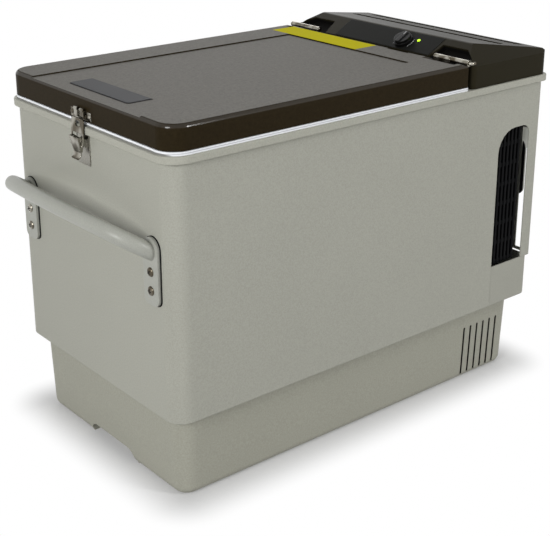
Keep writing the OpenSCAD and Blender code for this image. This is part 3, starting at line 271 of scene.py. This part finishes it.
# Compressor bay
# Black plastic lattices, the fan and its shroud, an enamelled compressor on rubber mounts and its
# condenser, copper pipes, bare aluminium and zinc-plated sheet. Most of it is only glimpsed through
# the vents.
def moulded(name, colour, rough, grain, bump, **sockets):
    """Moulded plastic or rubber: an even tone with faint flow marks and a fine moulded grain."""
    material, place = new_material(name)
    flow, speck, shade = moulded_grain(place, grain)
    surface(place, shade.tint(colour), rough + flow * 0.07, speck, bump, **sockets)
    return material


def metal(name, colour, rough, scratch, bump):
    """Bare metal: streaks along one way, faint cloudy stains."""
    material, place = new_material(name)
    streak = place.stretch(1.0, 12.0, 1.0).noise(scratch, 3.0)
    cloud = place.noise(45.0, 3.0)
    shade = 0.86 + streak * 0.12 + cloud * 0.14
    surface(place, shade.tint(colour), rough + streak * 0.10 + cloud * 0.06, streak, bump, Metallic=1.0)
    return material


black_plastic = moulded("black_plastic", (0.0042, 0.0043, 0.0048, 1.0), 0.5, 800.0, 0.00006, Specular=0.04)
black_rubber = moulded("black_rubber", (0.013, 0.013, 0.013, 1.0), 0.72, 1200.0, 0.0001, Specular=0.06)
black_enamel = painted("black_enamel", (0.008, 0.008, 0.009, 1.0), 0.42, 700.0, 0.10)
drawn_copper = metal("drawn_copper", (0.62, 0.29, 0.14, 1.0), 0.3, 260.0, 0.00004)
bare_aluminium = metal("bare_aluminium", (0.72, 0.73, 0.74, 1.0), 0.34, 320.0, 0.00004)
zinc_sheet = metal("zinc_sheet", (0.46, 0.48, 0.50, 1.0), 0.36, 120.0, 0.00005)
wear(["side_grilles", "end_grille", "fan_shroud", "fan_rotor", "ac_inlet", "dc_inlet"], black_plastic)
wear(["compressor_mounts"], black_rubber)
wear(["compressor", "condenser"], black_enamel)
wear(["filter_drier", "refrigerant_pipes"], drawn_copper)
wear(["evaporator", "power_board"], bare_aluminium)
wear(["bulkhead", "thermostat"], zinc_sheet)


# Control housing
# A hollow dark brown moulding with a satin grain that stands on the rim and closes the bay. Light catches
# its shoulders and the edges of the troughs. The deep hinge pockets are painted almost black: painted shade.
knob_joint = [joint for joint in frame["joints"] if joint["name"] == "knob_turn"][0]
panel_out = Vector(knob_joint["axis"]).normalized()
panel_up = Vector((panel_out.z, 0.0, -panel_out.x))
panel_along = Vector((0.0, 1.0, 0.0))
knob_foot = Vector(knob_joint["pos_m"])
shoulder_foot_y = 0.185
shoulder_foot_z = 0.4845
shoulder_out_y = 0.592
shoulder_out_z = 0.806
pocket_inner_y = 0.1045
pocket_outer_y = 0.1740
pocket_rear_x = 0.194


def housing_material():
    """Brown plastic, painted almost black inside the hinge pockets: painted shade."""
    material, place = new_material("housing_plastic")
    flow, speck, shade = moulded_grain(place, 800.0, 0.24)
    side = abs(place.axis("Y"))
    rise = place.node("VectorMath", {"operation": "DOT_PRODUCT"}, {0: place, 1: panel_out}, "Value")
    sunk = 1.0 - (rise - knob_foot.dot(panel_out)).ramp(-0.0035, -0.0015)
    shoulder = (side - shoulder_foot_y) * shoulder_out_y
    shoulder = shoulder + (place.axis("Z") - shoulder_foot_z) * shoulder_out_z
    # Painted shade: the faces inside the hinge pockets turn almost black.
    pocket_shade = sunk * side.between(pocket_inner_y, pocket_outer_y, 0.0015)
    pocket_shade = pocket_shade * (1.0 - shoulder.ramp(-0.0030, -0.0015))
    pocket_shade = pocket_shade * (1.0 - place.axis("X").ramp(pocket_rear_x, pocket_rear_x + 0.003))
    lit_tone = shade.tint((0.0190, 0.0162, 0.0085, 1.0))
    pocket_shade_tone = shade.tint((0.0060, 0.0056, 0.0050, 1.0))
    tone = pocket_shade.mix(lit_tone, pocket_shade_tone)
    surface(place, tone, 0.34 + flow * 0.07 + pocket_shade * 0.2, speck, 0.00004, Specular=0.04)
    return material


wear(["control_housing"], housing_material())


# Control panel
# A smooth black strip let into the slope, with plain white dial ticks screened round the knob.
# The knob is a glossier black moulding pushed on the thermostat's shaft, and has one white mark.
panel_black = moulded("panel_black", (0.0115, 0.0118, 0.0105, 1.0), 0.42, 900.0, 0.00002, Specular=0.03)
knob_black = moulded("knob_black", (0.0035, 0.0035, 0.0034, 1.0), 0.26, 900.0, 0.00002, Specular=0.16)
wear(["control_panel"], panel_black)
wear(["control_knob"], knob_black)


def flat_mesh(name, points, faces, material, body):
    """A mesh from points in the shared frame that rides on a body."""
    data = bpy.data.meshes.new(name)
    data.from_pydata([tuple(point) for point in points], [], faces)
    data.materials.append(material)
    made = bpy.data.objects.new(name, data)
    bpy.context.scene.collection.objects.link(made)
    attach(made, body)
    return made


def on_panel(along, up, lift):
    """A point on the panel, counted from the foot of the knob."""
    return knob_foot + panel_along * along + panel_up * up + panel_out * lift


def band(points, faces, inner, outer):
    """Adds a strip of faces between two rows of points."""
    first = len(points)
    points.extend(inner + outer)
    for i in range(len(inner) - 1):
        faces.append((first + i, first + i + 1, first + len(inner) + i + 1, first + len(inner) + i))


panel_face = 0.00045
arc_inner_r = 0.0146
arc_outer_r = 0.0152
tick_outer_r = 0.0168
arc_steps = 12
tick_half_turn = 1.2
ticks = 5


def dial_arc(radius, from_turn, to_turn, steps):
    """Points on the panel's face along an arc round the knob."""
    turns = [math.radians(from_turn + (to_turn - from_turn) * i / steps) for i in range(steps + 1)]
    return [on_panel(radius * math.cos(turn), radius * math.sin(turn), panel_face) for turn in turns]


print_white = moulded("print_white", (0.50, 0.51, 0.51, 1.0), 0.5, 2500.0, 0.00001)
dial_points = []
dial_faces = []
for low_turn, high_turn in ((-28.0, 28.0), (152.0, 208.0)):
    band(dial_points, dial_faces, dial_arc(arc_inner_r, low_turn, high_turn, arc_steps),
         dial_arc(arc_outer_r, low_turn, high_turn, arc_steps))
    for step in range(ticks):
        turn = low_turn + (high_turn - low_turn) * step / (ticks - 1)
        band(dial_points, dial_faces, dial_arc(arc_outer_r, turn - tick_half_turn, turn + tick_half_turn, 1),
             dial_arc(tick_outer_r, turn - tick_half_turn, turn + tick_half_turn, 1))
dial = flat_mesh("dial_marks", dial_points, dial_faces, print_white, "cabinet")

knob_top = 0.01035
mark_half = 0.0005
mark_from = 0.0040
mark_to = 0.0104
mark_rim = [(-mark_half, mark_from), (mark_half, mark_from), (mark_half, mark_to), (-mark_half, mark_to)]
mark_points = [on_panel(along, up, knob_top) for along, up in mark_rim]
knob_mark = flat_mesh("knob_mark", mark_points, [(0, 1, 2, 3)], print_white, "knob")


# Power light
# A small lens of clear green plastic let into the panel beside the knob.
# A lamp sits behind it, so it glows unevenly.
def lens():
    """Green plastic that glows, brighter in small patches."""
    material, place = new_material("green_lens")
    core = place.noise(900.0, 1.0)
    glow = core.mix((0.48, 0.90, 0.01, 1.0), (0.66, 1.0, 0.02, 1.0))
    shader = place.node("BsdfPrincipled", None, {"Base Color": glow, "Roughness": core * 0.1 + 0.15,
                                                 "Emission Color": glow, "Emission Strength": 0.8})
    place.node("OutputMaterial", None, {"Surface": shader})
    return material


wear(["power_light"], lens())


# Hinges and latch
# Pressed steel with a thin bright plating. The hinge leaves turn on plain pins, and two screws hold the
# keeper on the lid. Its colour carries smoky brown and pale patches of painted reflection under fine rub
# marks; the latch base lies flat on the wall and is a plainer, paler steel without them.
def plated_steel():
    """Bright plating: rub marks along one way over dark and pale patches of painted reflection."""
    material, place = new_material("plated_steel")
    rub = place.stretch(1.0, 12.0, 1.0).noise(420.0, 3.0)
    # Painted reflection: smoky dark and pale patches stand in for dark and bright surroundings seen in the
    # plating.
    reflection_patches = place.stretch(1.0, 0.45, 0.30).noise(150.0, 1.0).ramp(0.36, 0.66)
    tone = reflection_patches.mix((0.10, 0.085, 0.060, 1.0), (0.36, 0.345, 0.30, 1.0))
    rough = 0.11 + rub * 0.12 + reflection_patches * 0.05
    surface(place, (0.88 + rub * 0.24).tint(tone), rough, rub, 0.00002, Metallic=1.0)
    return material


bright_plating = plated_steel()
wear(["hinge_leaves_cabinet", "hinge_leaves_lid", "hinge_pins"], bright_plating)
wear(["latch_lever", "latch_pins", "latch_bail", "latch_keeper", "keeper_screws"], bright_plating)
wear(["latch_base"], metal("base_steel", (0.31, 0.30, 0.265, 1.0), 0.2, 420.0, 0.00002))


# Handles
# Bent steel tube on two strap plates, sprayed a shade cooler and shinier than the walls.
# Each plate stands on a rubber pad and is held by two plated screws with domed cross heads.
wear(["front_handle", "rear_handle"], painted("handle_enamel", (0.345, 0.350, 0.313, 1.0), 0.30, 900.0, 0.30))
wear(["handle_pads"], black_rubber)
wear(["handle_screws"], bright_plating)
head_r = 0.006
head_h = 0.003
cross_reach = 0.0033
cross_half = 0.13 * head_r
cross_lift = 0.00004


def screw_cross(points, faces, centre, outward, turn):
    """Adds painted shade for the cross recess of a screw: two narrow dark strips that lie on its domed head.
    """
    for quarter in (0.0, 90.0):
        angle = math.radians(turn + quarter)
        rows = []
        for across in (-cross_half, cross_half):
            row = []
            for i in range(9):
                along = cross_reach * (i / 4.0 - 1.0)
                y = along * math.cos(angle) - across * math.sin(angle)
                z = along * math.sin(angle) + across * math.cos(angle)
                rise = head_h * math.sqrt(1.0 - (y * y + z * z) / head_r ** 2) + cross_lift
                row.append((centre[0] + outward * rise, centre[1] + y, centre[2] + z))
            rows.append(row)
        band(points, faces, rows[0], rows[1])


# Near-black for painted shade: in the screws' cross recesses and round the bare plate.
recess_shade_black = moulded("recess_shade_black", (0.012, 0.011, 0.010, 1.0), 0.6, 2000.0, 0.00001, Specular=0.05)
screw_low, screw_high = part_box("handle_screws")
# Painted shade: a dark cross on each domed screw head, for the shade in its recess.
cross_shade_points = []
cross_shade_faces = []
for end, outward, turn in ((screw_low.x + head_h, -1.0, 20.0), (screw_high.x - head_h, 1.0, 55.0)):
    for side in (-1.0, 1.0):
        for row, level in enumerate((screw_low.z + head_r, screw_high.z - head_r)):
            centre = (end, side * (screw_high.y - head_r), level)
            screw_cross(cross_shade_points, cross_shade_faces, centre, outward, turn + 37.0 * row + 11.0 * side)
cross_shades = flat_mesh("screw_cross_shades", cross_shade_points, cross_shade_faces, recess_shade_black, "cabinet")


# Lid
# A brown moulding filled with foam and closed by a white liner with a soft seal round it. Its top is grained
# like fine leather, and its colour is painted paler there as painted sheen from above; its skirt is smoother
# and darker, and the edge between them is glossy.
lid_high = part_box("lid_shell")[1]
top_low = lid_high.z - 0.0045
rear_bevel_from = lid_high.x - 0.0100


def lid_material():
    """Brown plastic, told apart by how it faces: grained upper face painted paler as sheen, glossy edge,
    smooth skirt.
    """
    material, place = new_material("lid_plastic")
    upward = place.facing("Z")
    rear = place.axis("X").ramp(rear_bevel_from, rear_bevel_from + 0.0015) * upward.ramp(0.88, 0.94)
    top_sheen = upward.ramp(0.955, 0.995).most(rear) * place.axis("Z").ramp(top_low, top_low + 0.0010)
    edge = upward.ramp(0.10, 0.40) * (1.0 - upward.ramp(0.75, 0.95)) * (1.0 - top_sheen)
    pebble = place.node("TexVoronoi", None, {"Vector": place, "Scale": 900.0}, "Distance")
    speck = place.noise(430.0, 2.0)
    flow = place.noise(11.0, 3.0)
    shade = 0.48 + flow * 0.06 + speck * 0.56 + place.noise(190.0, 2.0) * 0.42
    # Painted sheen: the upper face takes a paler grey-brown than the skirt, for light it catches from above.
    tone = top_sheen.mix(shade.tint((0.0205, 0.0146, 0.0066, 1.0)), shade.tint((0.163, 0.156, 0.141, 1.0)))
    surface(place, tone, 0.36 + top_sheen * 0.2 + flow * 0.05, top_sheen * (pebble + speck * 0.5), 0.00012, Specular=0.03,
            Coat_Weight=edge * 0.55, Coat_Roughness=0.09, Coat_IOR=1.5)
    return material


wear(["lid_shell"], lid_material())
wear(["lid_liner"], moulded("white_plastic", white_tone, 0.22, 500.0, 0.00003, Specular=0.5))
wear(["lid_gasket"], moulded("white_seal", (0.72, 0.73, 0.74, 1.0), 0.6, 900.0, 0.0001))


# Bare plate and strip on the lid
# A thin grey plate is glued into the sunk top, with two round corners at the latch end. A thin black slab
# round it is painted shade at its edge.
# A strip of yellow film is stuck across the rear of the top. Both are bare.
def slab(name, rim, low_z, high_z, bevel, material, body):
    """A thin plate of that outline with softened edges."""
    count = len(rim)
    points = [(x, y, z) for z in (low_z, high_z) for x, y in rim]
    faces = [tuple(reversed(range(count))), tuple(range(count, 2 * count))]
    faces.extend((i, (i + 1) % count, count + (i + 1) % count, count + i) for i in range(count))
    made = flat_mesh(name, points, faces, material, body)
    soft = made.modifiers.new("soft edges", "BEVEL")
    soft.width = bevel
    soft.segments = 3
    return made


def rounded_end(low, high, radius):
    """Outline of a rectangle whose two corners at the latch end are round."""
    rim = [(high[0], low[1]), (high[0], high[1])]
    for y, turn in ((high[1] - radius, 90.0), (low[1] + radius, 180.0)):
        for step in range(7):
            angle = math.radians(turn + 15.0 * step)
            rim.append((low[0] + radius + radius * math.cos(angle), y + radius * math.sin(angle)))
    return rim


sunk_top = lid_high.z - 0.0018
plate_grey = moulded("plate_grey", (0.046, 0.047, 0.050, 1.0), 0.5, 900.0, 0.00001, Specular=0.04)
strip_yellow = moulded("strip_yellow", (0.585, 0.525, 0.004, 1.0), 0.7, 1200.0, 0.00001, Specular=0.02)
shade_rim_outline = rounded_end((-0.3020, -0.0670), (-0.2660, 0.0700), 0.0055)
plate_outline = rounded_end((-0.3010, -0.0660), (-0.2672, 0.0690), 0.0050)
strip_outline = [(0.1070, -0.0180), (0.1490, -0.0180), (0.1490, 0.1640), (0.1070, 0.1640)]
# Painted shade: a black slab just wider than the plate, for the shade round its edge.
plate_shade_rim = slab("plate_shade_rim", shade_rim_outline, sunk_top - 0.0005, sunk_top + 0.0004, 0.0003, recess_shade_black, "lid")
plate = slab("bare_plate", plate_outline, sunk_top - 0.0004, sunk_top + 0.0010, 0.0005, plate_grey, "lid")
strip = slab("yellow_strip", strip_outline, lid_high.z - 0.0003, lid_high.z + 0.00015, 0.0001,
             strip_yellow, "lid")


# Floor
# A wide sheet of white paper under the fridge. It burns out to white in the picture, all but a narrow band
# round the foot of the tray, where the soft shadow stays.
floor_half = 9.0
foot_half_x = 0.296
foot_half_y = 0.158
shadow_reach = 0.075
shadow_burn = 0.14


def background_ray(start):
    """1 for a ray from the camera, off something shiny or through something clear."""
    camera, shiny, clear = [start.node("LightPath", None, None, "Is %s Ray" % kind)
                            for kind in ("Camera", "Glossy", "Transmission")]
    return camera.most(shiny).most(clear)


def floor_material():
    """White paper that turns plain white for the camera, save close to the tray."""
    material, place = new_material("white_floor")
    faint = place.noise(3.0, 2.0)
    paper = place.node("BsdfDiffuse", None, {"Color": (0.985 + faint * 0.01).tint((0.66, 0.66, 0.66, 1.0))})
    glow = place.node("Emission", None, {"Color": (1.0, 1.0, 1.0, 1.0), "Strength": 1.0})
    beyond_x = (abs(place.axis("X")) - foot_half_x).most(0.0)
    beyond_y = (abs(place.axis("Y")) - foot_half_y).most(0.0)
    away = place.math("SQRT", beyond_x * beyond_x + beyond_y * beyond_y)
    burnt = background_ray(place) * (shadow_burn + away.ramp(0.0, shadow_reach) * (1.0 - shadow_burn))
    seen = place.node("MixShader", None, {0: burnt, 1: paper, 2: glow})
    place.node("OutputMaterial", None, {"Surface": seen})
    return material


floor_data = bpy.data.meshes.new("floor")
floor_corners = [(x * floor_half, y * floor_half, 0.0) for x, y in ((-1, -1), (1, -1), (1, 1), (-1, 1))]
floor_data.from_pydata(floor_corners, [], [(0, 1, 2, 3)])
floor_data.materials.append(floor_material())
floor = bpy.data.objects.new("floor", floor_data)
bpy.context.scene.collection.objects.link(floor)


# Surroundings
# Soft grey studio walls that light the fridge, a little brighter overhead and brightest low down behind it.
# The picture itself shows plain white there.
world = bpy.data.worlds.new("studio")
bpy.context.scene.world = world
world.use_nodes = True
world.node_tree.nodes.clear()
start = Wire(world.node_tree)
direction = start.node("TexCoord", None, None, "Generated")
height = direction.axis("Z")
backdrop = (direction.axis("X") * 0.63 + direction.axis("Y") * 0.77).ramp(0.0, 0.9)
backdrop = backdrop * (1.0 - height.ramp(0.45, 0.75))
level = 0.21 + height.ramp(-0.05, 0.75) * 0.12 + backdrop * 0.55
around = start.node("Background", None, {"Color": level.tint((1.0, 1.0, 1.0, 1.0)), "Strength": 1.0})
behind = start.node("Background", None, {"Color": (1.0, 1.0, 1.0, 1.0), "Strength": 1.0})
seen = start.node("MixShader", None, {0: background_ray(start), 1: around, 2: behind})
start.node("OutputWorld", None, {"Surface": seen})


# Lights
# Three square soft boxes. The key stands low at the left, so the handle's soft shadow falls close to it;
# the fill lights the long side from the right, and a weak one behind lifts the far edges.
def soft_light(name, place, aim_height, side, power):
    """A square light of that side and power, aimed at a height over the middle of the fridge."""
    data = bpy.data.lights.new(name, "AREA")
    data.size = side
    data.energy = power
    made = bpy.data.objects.new(name, data)
    made.location = place
    aim = Vector((0.0, 0.0, aim_height))
    made.rotation_euler = (aim - Vector(place)).to_track_quat("-Z", "Y").to_euler()
    bpy.context.scene.collection.objects.link(made)


soft_light("key", (-2.5, -0.9, 1.25), 0.37, 0.9, 42.5)
soft_light("fill", (1.15, -2.6, 1.5), 0.30, 0.5, 33.5)
soft_light("back", (1.5, 2.2, 1.6), 0.45, 1.4, 13.0)


# Camera
# It stands where the photo was taken from. The photo was shifted until its uprights were almost parallel;
# this one takes as much of that shift as leaves the fridge and its open lid whole in views from other sides.
photo_width = 550.0
photo_height = 536.0
optical_row = 202.0
focal_pixels = 1194.85
tilt_down = 19.32
turn_right = 39.44
camera_data = bpy.data.cameras.new("camera")
camera_data.sensor_width = 36.0
camera_data.lens = focal_pixels / photo_width * camera_data.sensor_width
camera_data.shift_y = (optical_row - photo_height / 2) / photo_width
camera = bpy.data.objects.new("camera", camera_data)
camera.location = (-1.0325, -1.2271, 0.8435)
camera.rotation_euler = (math.radians(90.0 - tilt_down), 0.0, math.radians(-turn_right))
bpy.context.scene.collection.objects.link(camera)
bpy.context.scene.camera = camera
bpy.context.scene.view_settings.view_transform = "Standard"
